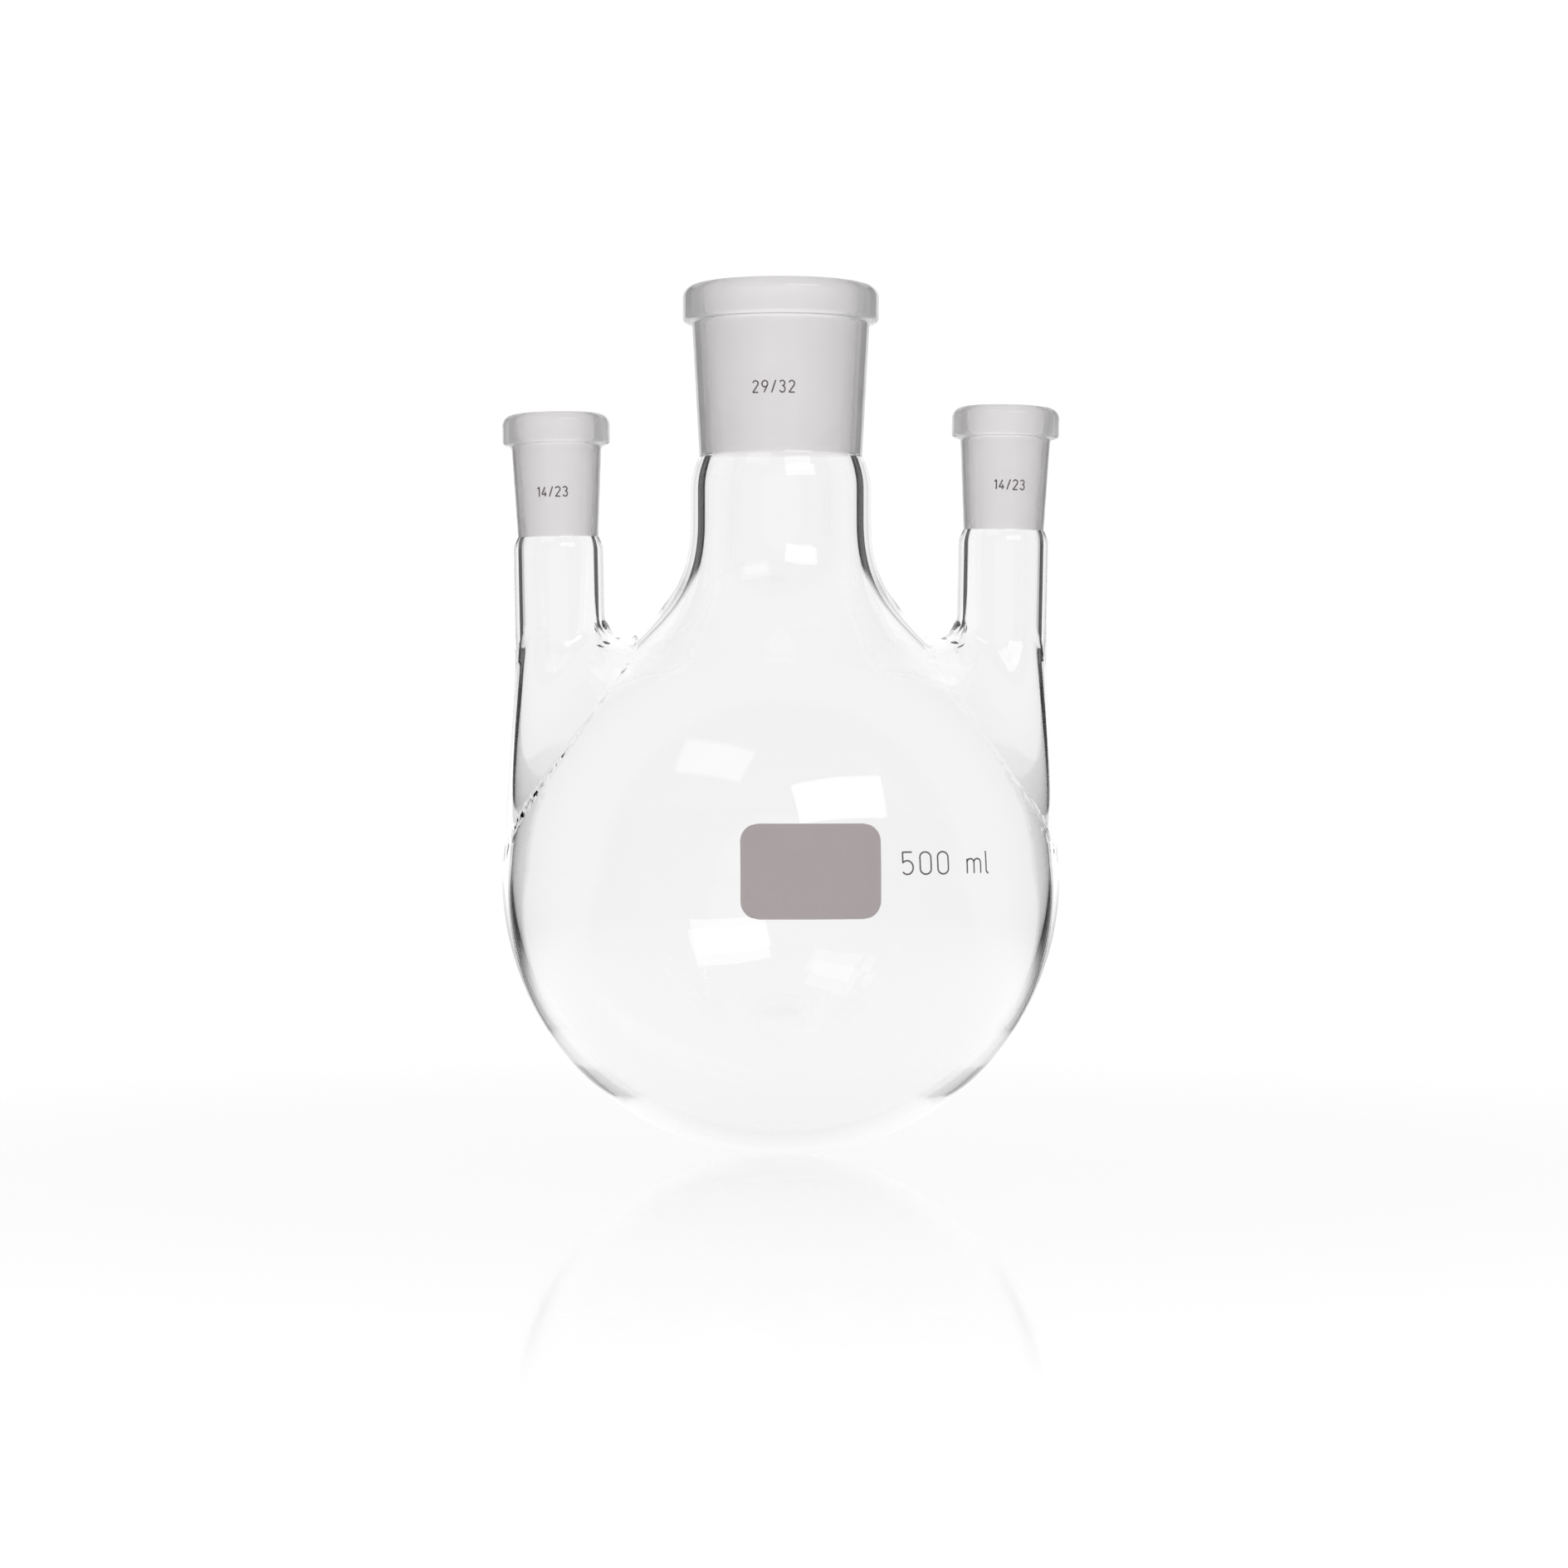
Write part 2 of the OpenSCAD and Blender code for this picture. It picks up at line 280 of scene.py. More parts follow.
def skinTree(rule):
    tree, g, given, result = newTree(
        "blownSkin",
        [("Geometry", "Geometry", None), ("Depth", "Float", 0.0), ("Low", "Vector", None),
         ("High", "Vector", None), ("Rounds", "Int", 6), ("Material", "Material", None)]
        + [(name, "Float", value) for name, value in body.items()],
        [("Geometry", "Geometry")])

    def distance(point):
        call = g.node("GeometryNodeGroup", {"node_tree": rule}, {"Point": point, "Depth": given["Depth"]})
        for name in body:
            g.feed(call.inputs[name], given[name])
        return Wire(g, call.outputs[0])

    here = g.out("GeometryNodeInputPosition")
    low, high = g.split(given["Low"]), g.split(given["High"])
    counts = [g.maths("CEIL", (b - a) / given["Cell"]) for a, b in zip(low, high)]
    volume = g.node("GeometryNodeVolumeCube", None, {
        "Density": distance(here) * -1, "Background": -5.0, "Min": given["Low"], "Max": given["High"],
        "Resolution X": counts[0], "Resolution Y": counts[1], "Resolution Z": counts[2]})
    rough = g.node("GeometryNodeVolumeToMesh", {"resolution_mode": "GRID"},
                   {"Volume": volume.outputs[0], "Threshold": 0.0, "Adaptivity": 0.0})

    # the distance at the four corners of a small tetrahedron gives the slope as well
    reach = 0.04
    corners = [(1, -1, -1), (-1, -1, 1), (-1, 1, -1), (1, 1, 1)]
    values = [distance(g.out("ShaderNodeVectorMath", {"operation": "ADD"},
                             {0: here, 1: [reach * c for c in corner]})) for corner in corners]
    slope = [sum((value * corner[axis] for value, corner in zip(values, corners)), 0) / (4 * reach)
             for axis in range(3)]
    value = (values[0] + values[1] + values[2] + values[3]) / 4
    steep = g.most(slope[0] ** 2 + slope[1] ** 2 + slope[2] ** 2, 0.05)
    step = g.most(g.least(value / steep, 1), -1) * -1

    start = g.node("GeometryNodeRepeatInput", None, {"Iterations": given["Rounds"]})
    end = g.node("GeometryNodeRepeatOutput")
    start.pair_with_output(end)
    g.feed(start.inputs["Geometry"], rough.outputs[0])
    soft = g.node("GeometryNodeBlurAttribute", {"data_type": "FLOAT_VECTOR"},
                  {"Value": here, "Iterations": 1, "Weight": 0.8})
    relaxed = g.node("GeometryNodeSetPosition", None,
                     {"Geometry": start.outputs["Geometry"], "Position": soft.outputs[0]})
    offset = g.join(slope[0] * step, slope[1] * step, slope[2] * step)
    seated = relaxed
    for again in range(2):
        seated = g.node("GeometryNodeSetPosition", None, {"Geometry": seated.outputs[0], "Offset": offset})
    g.feed(end.inputs["Geometry"], seated.outputs[0])
    steepness = g.root(steep)
    marked = g.node("GeometryNodeStoreNamedAttribute", {"data_type": "FLOAT_VECTOR", "domain": "POINT"}, {
        "Geometry": end.outputs["Geometry"], "Name": "facing",
        "Value": g.join(slope[0] / steepness, slope[1] / steepness, slope[2] / steepness)})
    endTree(g, given, result, marked)
    return tree


def blownSkin(depth, tree, glass):
    edge = body["Bulb radius"] + ruleLimits["margin"]
    settings = {"Depth": float(depth), "Low": (-edge, -edge, -edge),
                "High": (edge, edge, centreCut + ruleLimits["marginUp"]), "Material": glass}
    settings.update(body)
    return grow("skin", bpy.data.meshes.new("empty"), tree, settings)


print("body rule written")


# the turned necks: tube, ground socket and rim, each from one profile

centreNeck = {
    "top": 111.5, "tube": 17.05, "tubeWall": 2.7, "bore": 29.2, "boreLength": 32.0,
    "waistWall": 2.4, "mouthWall": 2.5, "rimOut": 1.8, "rimHeight": 7.0, "rimRound": 2.3,
    "swell": 6.5, "columns": 132, "cut": centreCut,
}
sideNeck = {
    "tube": 8.5, "tubeWall": 1.9, "bore": 14.5, "boreLength": 23.0,
    "waistWall": 1.5, "mouthWall": 1.5, "rimOut": 1.7, "rimHeight": 5.8, "rimRound": 2.0,
    "swell": 3.0, "columns": 84, "cut": sideCut,
}
neckHeights = {"left": 139.7, "right": 141.0}
groundTaper, mouthRound = 10.0, 0.8
profileGap = 1.2  # longest step along a neck's profile
seam = {
    "gap": 0.8,    # the body ends this far below a turned neck
    "deep": 4,     # how far below the neck's foot it is searched for that end
    "wide": 3,     # and how far out from the tube
    "slack": 0.3,  # how far from the tube's radius a rim may lie
}


def arc(x, z, r, start, end, steps=7):
    angles = [math.radians(start + (end - start) * i / steps) for i in range(steps + 1)]
    return [(x + r * math.cos(a), z + r * math.sin(a)) for a in angles]


def shoulder(low, high, steps=10):  # upright below and bent in above
    return [(high[0] + (low[0] - high[0]) * math.cos(math.pi / 2 * i / steps),
             low[1] + (high[1] - low[1]) * i / steps) for i in range(steps + 1)]


def evenly(points, gap):  # long straight runs get points in between
    filled = [points[0]]
    for a, b in zip(points, points[1:]):
        length = math.dist(a, b)
        if length < 1e-4:
            continue
        parts = max(1, round(length / gap))
        filled += [(a[0] + (b[0] - a[0]) * i / parts, a[1] + (b[1] - a[1]) * i / parts)
                   for i in range(1, parts + 1)]
    return filled


def boreRadius(neck, depth):  # of the ground socket, at a depth below the mouth
    return neck["bore"] / 2 - depth / groundTaper / 2


def neckProfile(neck):  # points in R and Z from the tube's outside over the rim to its inside
    top = neck["top"]
    waistIn = boreRadius(neck, neck["boreLength"])
    waistZ = top - neck["boreLength"]
    waistR = waistIn + neck["waistWall"]
    underRim = top - neck["rimHeight"]
    mouthR = boreRadius(neck, neck["rimHeight"]) + neck["mouthWall"]
    rimR = mouthR + neck["rimOut"]
    low = neck["rimOut"] / 2
    outside = [(neck["tube"], neck["cut"])] \
        + shoulder((neck["tube"], waistZ - neck["swell"]), (waistR, waistZ)) \
        + arc(mouthR + low, underRim - low, low, 180, 90) \
        + arc(rimR - low, underRim + low, low, -90, 0) \
        + arc(rimR - neck["rimRound"], top - neck["rimRound"], neck["rimRound"], 0, 90, 10)
    tubeIn = neck["tube"] - neck["tubeWall"]
    inside = [(tubeIn, neck["cut"])] \
        + shoulder((tubeIn, waistZ - neck["swell"]), (waistIn, waistZ)) \
        + arc(neck["bore"] / 2 + mouthRound, top - mouthRound, mouthRound, 180, 90)
    points = evenly(outside + inside[::-1], profileGap)
    groundR, groundFoot = neck["bore"] / 2 + mouthRound * 0.6, waistZ - profileGap / 2
    facing, ground = [], []
    for i, (r, z) in enumerate(points):
        before, after = points[max(i - 1, 0)], points[min(i + 1, len(points) - 1)]
        run = math.dist(before, after)
        facing.append(((after[1] - before[1]) / run, 0, (before[0] - after[0]) / run))
        inBore = i > len(points) / 2 and r < groundR and z > groundFoot
        ground.append(1.0 if inBore else 0.0)
    for i in (0, -1):  # plain tube where the body takes over
        facing[i] = (1 if i == 0 else -1, 0, 0)
    return points, facing, ground


def sleeveTree():
    tree, g, given, result = newTree(
        "turnedSleeve",
        [("Geometry", "Geometry", None), ("Columns", "Int", 96), ("Material", "Material", None)],
        [("Geometry", "Geometry")])
    profile = given["Geometry"]
    rows = g.out("GeometryNodeAttributeDomainSize", {"component": "MESH"}, {0: profile})
    columns = given["Columns"]
    grid = g.node("GeometryNodeMeshGrid", None, {"Vertices X": rows, "Vertices Y": columns + 1})
    index = g.out("GeometryNodeInputIndex")
    row = g.maths("FLOOR", (index + 0.5) / (columns + 1))
    turn = (index - row * (columns + 1)) / columns * (2 * math.pi)

    def sample(kind, value):
        return g.out("GeometryNodeSampleIndex", {"data_type": kind, "domain": "POINT"},
                     {"Geometry": profile, "Value": value, "Index": row})

    def turned(vector):
        return g.out("ShaderNodeVectorRotate", {"rotation_type": "Z_AXIS"}, {"Vector": vector, "Angle": turn})

    facingIn = g.out("GeometryNodeInputNamedAttribute", {"data_type": "FLOAT_VECTOR"}, {"Name": "facing"})
    groundIn = g.out("GeometryNodeInputNamedAttribute", {"data_type": "FLOAT"}, {"Name": "ground"})
    shape = g.node("GeometryNodeStoreNamedAttribute", {"data_type": "FLOAT_VECTOR", "domain": "POINT"},
                   {"Geometry": grid.outputs[0], "Name": "facing",
                    "Value": turned(sample("FLOAT_VECTOR", facingIn))})
    shape = g.node("GeometryNodeStoreNamedAttribute", {"data_type": "FLOAT", "domain": "POINT"},
                   {"Geometry": shape.outputs[0], "Name": "ground", "Value": sample("FLOAT", groundIn)})
    shape = g.node("GeometryNodeSetPosition", None,
                   {"Geometry": shape.outputs[0],
                    "Position": turned(sample("FLOAT_VECTOR", g.out("GeometryNodeInputPosition")))})
    shape = g.node("GeometryNodeMergeByDistance", None, {"Geometry": shape.outputs[0], "Distance": 0.001})
    endTree(g, given, result, g.node("GeometryNodeFlipFaces", None, {0: shape.outputs[0]}))
    return tree


def turnedSleeve(neck, tree, glass):
    points, facing, ground = neckProfile(neck)
    profile = bpy.data.meshes.new("profile")
    profile.from_pydata([(r, 0, z) for r, z in points], [(i, i + 1) for i in range(len(points) - 1)], [])
    profile.attributes.new("facing", "FLOAT_VECTOR", "POINT").data.foreach_set(
        "vector", [c for f in facing for c in f])
    profile.attributes.new("ground", "FLOAT", "POINT").data.foreach_set("value", ground)
    return grow("sleeve", profile, tree, {"Columns": neck["columns"], "Material": glass})


# skins and necks made into one closed mesh

def neckPlaces():
    lean, offset, centre = math.radians(body["Lean"]), body["Side offset"], body["Bulb radius"]
    places = [(centreNeck, Matrix.Identity(4))]
    for side, sign in (("left", -1), ("right", 1)):
        top = (neckHeights[side] - centre + offset * math.sin(lean)) / math.cos(lean)
        place = Matrix.Rotation(sign * lean, 4, "Y") @ Matrix.Translation((sign * offset, 0, 0))
        places.append((dict(sideNeck, top=top), place))
    return places


def addMesh(shape, mesh, place=Matrix.Identity(4), inwards=False):
    turned = place.to_3x3()
    facingIn, groundIn = mesh.attributes["facing"], mesh.attributes.get("ground")
    facing = shape.verts.layers.float_vector["facing"]
    ground = shape.verts.layers.float["ground"]
    made = []
    for i, vertex in enumerate(mesh.vertices):
        new = shape.verts.new(place @ vertex.co)
        normal = Vector(facingIn.data[i].vector)
        new[facing] = turned @ (-normal if inwards else normal)
        new[ground] = groundIn.data[i].value if groundIn else 0.0
        made.append(new)
    for polygon in mesh.polygons:
        corners = [made[i] for i in polygon.vertices]
        shape.faces.new(corners[::-1] if inwards else corners)
    return made


def cutAndSew(shape, neck, place, skinVerts, sleeveVerts):  # joins a turned neck to both skins
    back, turned = place.inverted(), place.to_3x3()
    facing = shape.verts.layers.float_vector["facing"]
    reach, lowest = neck["tube"] + seam["wide"], neck["cut"] - seam["deep"]
    foot = Vector((0, 0, neck["cut"] - seam["gap"]))

    def local(co):
        return back @ co

    for inner in (False, True):
        skin = [v for v in skinVerts[inner] if v.is_valid]
        part = {v for v in skin if local(v.co).xy.length < reach and local(v.co).z > lowest}
        geometry = list(part) + list({e for v in part for e in v.link_edges if e.other_vert(v) in part}) \
            + list({f for v in part for f in v.link_faces if all(w in part for w in f.verts)})
        cut = bmesh.ops.bisect_plane(
            shape, geom=geometry, dist=1e-5, plane_co=place @ foot, plane_no=turned @ Vector((0, 0, 1)),
            clear_outer=True)
        rim = [v for v in cut["geom_cut"] if isinstance(v, bmesh.types.BMVert)]
        radius = neck["tube"] - (neck["tubeWall"] if inner else 0)
        for v in rim:  # seated on the tube
            at = local(v.co)
            flat = Vector((at.x, at.y, 0)).normalized()
            v.co = place @ (flat * radius + foot)
            v[facing] = turned @ (-flat if inner else flat)
        loop = [v for v in sleeveVerts
                if v.is_boundary and abs(local(v.co).xy.length - radius) < seam["slack"]]
        sew(shape, rim, loop, local, inner)


def sew(shape, low, high, local, inner):  # fills the band between two rings round a neck
    def angle(v):
        at = local(v.co)
        return math.atan2(at.y, at.x) % (2 * math.pi)

    def following(angles, i):  # the angle after the one numbered i, counted on past a full turn
        if i >= len(angles):
            return math.inf
        return angles[(i + 1) % len(angles)] + 2 * math.pi * ((i + 1) // len(angles))

    a, b = sorted(low, key=angle), sorted(high, key=angle)
    anglesA, anglesB = [angle(v) for v in a], [angle(v) for v in b]
    i = j = 0
    while i < len(a) or j < len(b):
        here, there = a[i % len(a)], b[j % len(b)]
        if following(anglesA, i) <= following(anglesB, j):
            corners, i = (here, a[(i + 1) % len(a)], there), i + 1
        else:
            corners, j = (here, b[(j + 1) % len(b)], there), j + 1
        shape.faces.new(corners[::-1] if inner else corners)


def makeFlask(glass):
    shape = bmesh.new()
    shape.verts.layers.float_vector.new("facing")
    shape.verts.layers.float.new("ground")
    skins, sleeves = skinTree(bodyRule()), sleeveTree()
    skinVerts = {}
    for inner in (False, True):
        skinVerts[inner] = addMesh(shape, blownSkin(inner, skins, glass), inwards=inner)
    for neck, place in neckPlaces():
        made = addMesh(shape, turnedSleeve(neck, sleeves, glass), place)
        cutAndSew(shape, neck, place, skinVerts, made)
    loose = [v for v in shape.verts if not v.link_faces]
    bmesh.ops.delete(shape, geom=loose, context="VERTS")
    print("flask sewn, open edges:", sum(not e.is_manifold for e in shape.edges))
    mesh = bpy.data.meshes.new("flask_glass")
    shape.to_mesh(mesh)
    shape.free()
    mesh.transform(Matrix.Scale(mm, 4) @ Matrix.Translation((0, 0, body["Bulb radius"])))
    mesh.shade_smooth()
    normals = [tuple(Vector(d.vector).normalized()) for d in mesh.attributes["facing"].data]
    mesh.normals_split_custom_set_from_vertices(normals)
    mesh.attributes.remove(mesh.attributes["facing"])
    mesh.materials.append(glass)
    flask = bpy.data.objects.new("flask_glass", mesh)
    scene.collection.objects.link(flask)
    return flask


# glass

glassLook = {
    "tint": (1.0, 1.0, 1.0, 1),
    "ior": 1.473,
    "polish": 0.0,                       # roughness of the clear glass
    "frost": (0.97, 0.945, 0.95, 1),     # ground glass, pale
    "frostShade": (0.93, 0.905, 0.915, 1),  # and where the grinding went deeper
    "frostPass": 0.9,                    # how much light gets through the ground bores
    "ground": 0.5,                       # roughness of the ground bores
    "grit": 0.16,                        # how much that varies from grain to grain
    "grain": 2600.0, "lapping": 160.0,   # how fine the grains and the traces of grinding are
    "smoke": 1.0,                        # absorption, for each metre of glass
    "smokeTint": (0.8, 0.82, 0.86, 1),
}


def newMaterial(name):
    material = bpy.data.materials.new(name)
    material.use_nodes = True
    return material, Graph(material.node_tree)


def glassMaterial():
    material, g = newMaterial("borosilicateGlass")
    place = g.out("ShaderNodeTexCoord", name="Object")
    ground = g.out("ShaderNodeAttribute", {"attribute_name": "ground"}, name="Fac")
    grain = g.out("ShaderNodeTexNoise", None, {
        "Vector": place, "Scale": glassLook["grain"], "Detail": 3.0})
    lapping = g.out("ShaderNodeTexNoise", None, {
        "Vector": place, "Scale": glassLook["lapping"], "Detail": 2.0})
    clear = g.node("ShaderNodeBsdfPrincipled", None, {
        "Base Color": glassLook["tint"], "Transmission Weight": 1.0, "IOR": glassLook["ior"],
        "Roughness": glassLook["polish"]})
    shade = g.node("ShaderNodeMix", {"data_type": "RGBA"}, {
        0: lapping, 6: glassLook["frost"], 7: glassLook["frostShade"]})
    frost = g.node("ShaderNodeBsdfPrincipled", None, {
        "Base Color": shade.outputs[2], "Transmission Weight": glassLook["frostPass"],
        "IOR": glassLook["ior"],
        "Roughness": glassLook["ground"] + glassLook["grit"] * (grain + lapping - 1)})
    mixed = g.node("ShaderNodeMixShader", None, {0: ground, 1: clear.outputs[0], 2: frost.outputs[0]})
    smoke = g.node("ShaderNodeVolumeAbsorption", None,
                   {"Color": glassLook["smokeTint"], "Density": glassLook["smoke"]})
    g.node("ShaderNodeOutputMaterial", None, {"Surface": mixed.outputs[0], "Volume": smoke.outputs[0]})
    return material


flask = makeFlask(glassMaterial())
print("flask made", len(flask.data.vertices), sum(len(p.vertices) - 2 for p in flask.data.polygons))
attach(flask, "root")
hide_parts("flask")


# enamel: the writing field and the size marks, each fired onto the glass

writingField = {
    "Width": 25.1, "Height": 16.9, "Corner": 3.2, "Thickness": 0.08, "Lift": 0.01,
    "turn": 6.0, "middle": 55.0,  # degrees to the right of the bulb's front, and height
}
sizeMarks = {  # letter height and stroke in mm; turn is to the right of the neck's or bulb's front
    "volume": {"text": "500 ml", "on": "bulb", "Tall": 3.95, "Stroke": 0.3, "track": 0.36,
               "stretch": 1.2, "turn": 34.8, "middle": 56.3},
    "centreSize": {"text": "29/32", "on": "centre", "Tall": 2.15, "Stroke": 0.27, "track": 0.34,
                   "stretch": 1.0, "turn": -4.8, "middle": 143.6},
    "leftSize": {"text": "14/23", "on": "left", "Tall": 1.78, "Stroke": 0.26, "track": 0.3,
                 "stretch": 1.0, "turn": -3.7, "middle": 124.7},
    "rightSize": {"text": "14/23", "on": "right", "Tall": 1.78, "Stroke": 0.26, "track": 0.3,
                  "stretch": 1.0, "turn": 3.9, "middle": 126.0},
}
enamelLook = {
    "field": (0.86, 0.79, 0.79, 1),
    "fieldShade": (0.76, 0.69, 0.69, 1),
    "mark": (0.4, 0.36, 0.358, 1),
    "markShade": (0.32, 0.29, 0.288, 1),
    "sheen": 0.55, "sheenVaries": 0.2,  # roughness
    "thin": 0.6,                        # how much of the light passes through the print
    "cloud": 90.0, "speck": 2200.0,     # how fine its two mottles are
    "relief": 0.25, "reliefDeep": 0.00002,
}


def bow(x, y, rx, ry, start, end, steps=12):  # part of an oval, angles in degrees
    angles = [math.radians(start + (end - start) * i / steps) for i in range(steps + 1)]
    return [(x + rx * math.cos(a), y + ry * math.sin(a)) for a in angles]


def glyph(letter):  # width and strokes of a letter, as tall as 1
    if letter == "0":
        ring = bow(0.24, 0.76, 0.24, 0.24, 0, 180) + bow(0.24, 0.24, 0.24, 0.24, 180, 360)
        return 0.48, [ring + ring[:1]]
    if letter == "1":
        return 0.2, [[(0, 0.8), (0.2, 1), (0.2, 0)]]
    if letter == "2":
        return 0.48, [bow(0.24, 0.75, 0.235, 0.25, 165, -30) + [(0.0, 0), (0.48, 0)]]
    if letter == "3":
        return 0.46, [bow(0.22, 0.775, 0.215, 0.225, 160, -90) + bow(0.22, 0.275, 0.24, 0.275, 90, -160)]
    if letter == "4":
        return 0.5, [[(0.34, 1), (0.0, 0.24), (0.5, 0.24)], [(0.36, 0.5), (0.36, 0)]]
    if letter == "5":
        return 0.45, [[(0.42, 1), (0.03, 1), (0.02, 0.52)] + bow(0.2, 0.31, 0.25, 0.31, 125, -140)]
    if letter == "9":
        bowl = bow(0.25, 0.73, 0.25, 0.27, -20, 340, 20)
        return 0.5, [bowl, [bowl[0], (0.18, 0)]]
    if letter == "/":
        return 0.36, [[(0, -0.02), (0.36, 1.04)]]
    if letter == "m":
        return 0.7, [[(0, 0), (0, 0.66)],
                     [(0, 0.5)] + bow(0.175, 0.49, 0.175, 0.17, 180, 0) + [(0.35, 0)],
                     [(0.35, 0.5)] + bow(0.525, 0.49, 0.175, 0.17, 180, 0) + [(0.7, 0)]]
    if letter == "l":
        return 0.14, [[(0, 1), (0, 0.12)] + bow(0.12, 0.12, 0.12, 0.12, 180, 270, 5)]
    return 0.32, []


def strokes(mark):  # the mark's strokes as chains of edges round its own middle, one letter high
    points, edges, pen = [], [], 0.0
    for letter in mark["text"]:
        wide, lines = glyph(letter)
        for line in lines:
            first = len(points)
            points += [(pen + x * mark["stretch"], y - 0.5, 0) for x, y in line]
            edges += [(first + i, first + i + 1) for i in range(len(line) - 1)]
        pen += wide * mark["stretch"] + mark["track"]
    half = (pen - mark["track"]) / 2
    mesh = bpy.data.meshes.new("strokes")
    mesh.from_pydata([(x - half, y, z) for x, y, z in points], edges, [])
    return mesh


def wrapGroup():  # bends a flat print, lying in X and Y with Z outwards, round a ball or a cone
    tree, g, given, result = newTree(
        "wrapPrint",
        [("Point", "Vector", None), ("Radius", "Float", 52.5), ("Flare", "Float", 0.0),
         ("Ball", "Float", 1.0), ("Turn", "Float", 0.0), ("Middle", "Float", 0.0)],
        [("Point", "Vector")])
    x, y, z = g.split(given["Point"])
    radius, ball = given["Radius"], given["Ball"]
    rise = g.maths("ARCSINE", given["Middle"] / radius * ball) + y / radius
    flatR = radius + given["Flare"] * y
    ringR = g.choose(ball, flatR + z, (radius + z) * g.maths("COSINE", rise))
    up = g.choose(ball, given["Middle"] + y, (radius + z) * g.maths("SINE", rise))
    along = x / g.choose(ball, flatR, radius * g.maths("COSINE", rise))
    angle = along + given["Turn"] * (math.pi / 180)
    g.feed(result.inputs[0], g.join(ringR * g.maths("SINE", angle), -ringR * g.maths("COSINE", angle), up))
    return tree


wrapInputs = [("Radius", "Float", 52.5), ("Flare", "Float", 0.0), ("Ball", "Float", 1.0),
              ("Turn", "Float", 0.0), ("Middle", "Float", 0.0), ("Material", "Material", None)]


def wrapped(g, given, result, wrap, geometry, point):
    call = g.node("GeometryNodeGroup", {"node_tree": wrap}, {"Point": point})
    for name in ("Radius", "Flare", "Ball", "Turn", "Middle"):
        g.feed(call.inputs[name], given[name])
    endTree(g, given, result, g.node("GeometryNodeSetPosition", None,
                                     {"Geometry": geometry, "Position": call.outputs[0]}))


def markTree(wrap):
    tree, g, given, result = newTree(
        "sizeMark", [("Geometry", "Geometry", None), ("Tall", "Float", 4.0), ("Stroke", "Float", 0.3),
                     ("Thickness", "Float", 0.04), ("Lift", "Float", 0.01)] + wrapInputs,
        [("Geometry", "Geometry")])
    tall, half = given["Tall"], given["Stroke"] / 2
    sized = g.node("GeometryNodeTransform", None,
                   {"Geometry": given["Geometry"], "Scale": g.join(tall, tall, 1)})
    lines = g.node("GeometryNodeMeshToCurve", None, {0: sized.outputs[0]})
    lines = g.node("GeometryNodeResampleCurve", {"mode": "LENGTH"},
                   {"Curve": lines.outputs[0], "Length": half})
    level = g.node("GeometryNodeSetCurveNormal", {"mode": "Z_UP"}, {0: lines.outputs[0]})
    section = g.node("GeometryNodeCurvePrimitiveQuadrilateral", {"mode": "RECTANGLE"},
                     {"Width": given["Stroke"], "Height": given["Thickness"]})
    ribbon = g.node("GeometryNodeCurveToMesh", None, {
        "Curve": level.outputs[0], "Profile Curve": section.outputs[0], "Fill Caps": True})
    x, y, z = g.split(g.out("GeometryNodeInputPosition"))
    wrapped(g, given, result, wrap, ribbon.outputs[0],
            g.join(x, y, z + given["Thickness"] / 2 + given["Lift"]))
    return tree


def fieldTree(wrap):
    tree, g, given, result = newTree(
        "writingField", [("Geometry", "Geometry", None), ("Width", "Float", 25.0),
                         ("Height", "Float", 17.0), ("Corner", "Float", 3.0),
                         ("Thickness", "Float", 0.08), ("Lift", "Float", 0.01)] + wrapInputs,
        [("Geometry", "Geometry")])
    wide, tall, corner, thick = given["Width"], given["Height"], given["Corner"], given["Thickness"]
    slab = g.node("GeometryNodeMeshCube", None, {
        "Size": g.join(wide, tall, thick), "Vertices X": 56, "Vertices Y": 60, "Vertices Z": 2})
    x, y, z = g.split(g.out("GeometryNodeInputPosition"))
    into = g.most(g.maths("ABSOLUTE", y) - tall / 2 + corner, 0)   # how far into the round corners
    short = corner - g.root(g.most(corner * corner - into * into, 0))
    wrapped(g, given, result, wrap, slab.outputs[0],
            g.join(x * (1 - short / wide * 2), y, z + thick / 2 + given["Lift"]))
    return tree


def enamelMaterial(name, tone, shade):
    material, g = newMaterial(name)
    place = g.out("ShaderNodeTexCoord", name="Object")
    cloud = g.out("ShaderNodeTexNoise", None, {"Vector": place, "Scale": enamelLook["cloud"], "Detail": 4.0})
    speck = g.out("ShaderNodeTexNoise", None, {"Vector": place, "Scale": enamelLook["speck"], "Detail": 2.0})
    blend = g.node("ShaderNodeMix", {"data_type": "RGBA"}, {
        0: 0.5 * cloud + 0.5 * speck, 6: shade, 7: tone})
    bump = g.node("ShaderNodeBump", None, {
        "Strength": enamelLook["relief"], "Distance": enamelLook["reliefDeep"], "Height": speck})
    shader = g.node("ShaderNodeBsdfPrincipled", None, {
        "Base Color": blend.outputs[2],
        "Roughness": enamelLook["sheen"] + enamelLook["sheenVaries"] * (cloud - 0.5),
        "Specular IOR Level": 0.4, "Transmission Weight": enamelLook["thin"], "Normal": bump.outputs[0]})
    g.node("ShaderNodeOutputMaterial", None, {"Surface": shader.outputs[0]})
    return material


def printed(name, source, tree, settings, place):
    mesh = grow(name, source, tree, settings)
    mesh.transform(Matrix.Scale(mm, 4) @ Matrix.Translation((0, 0, body["Bulb radius"])) @ place)
    piece = bpy.data.objects.new(name, mesh)
    scene.collection.objects.link(piece)
    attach(piece, "root")
    return piece


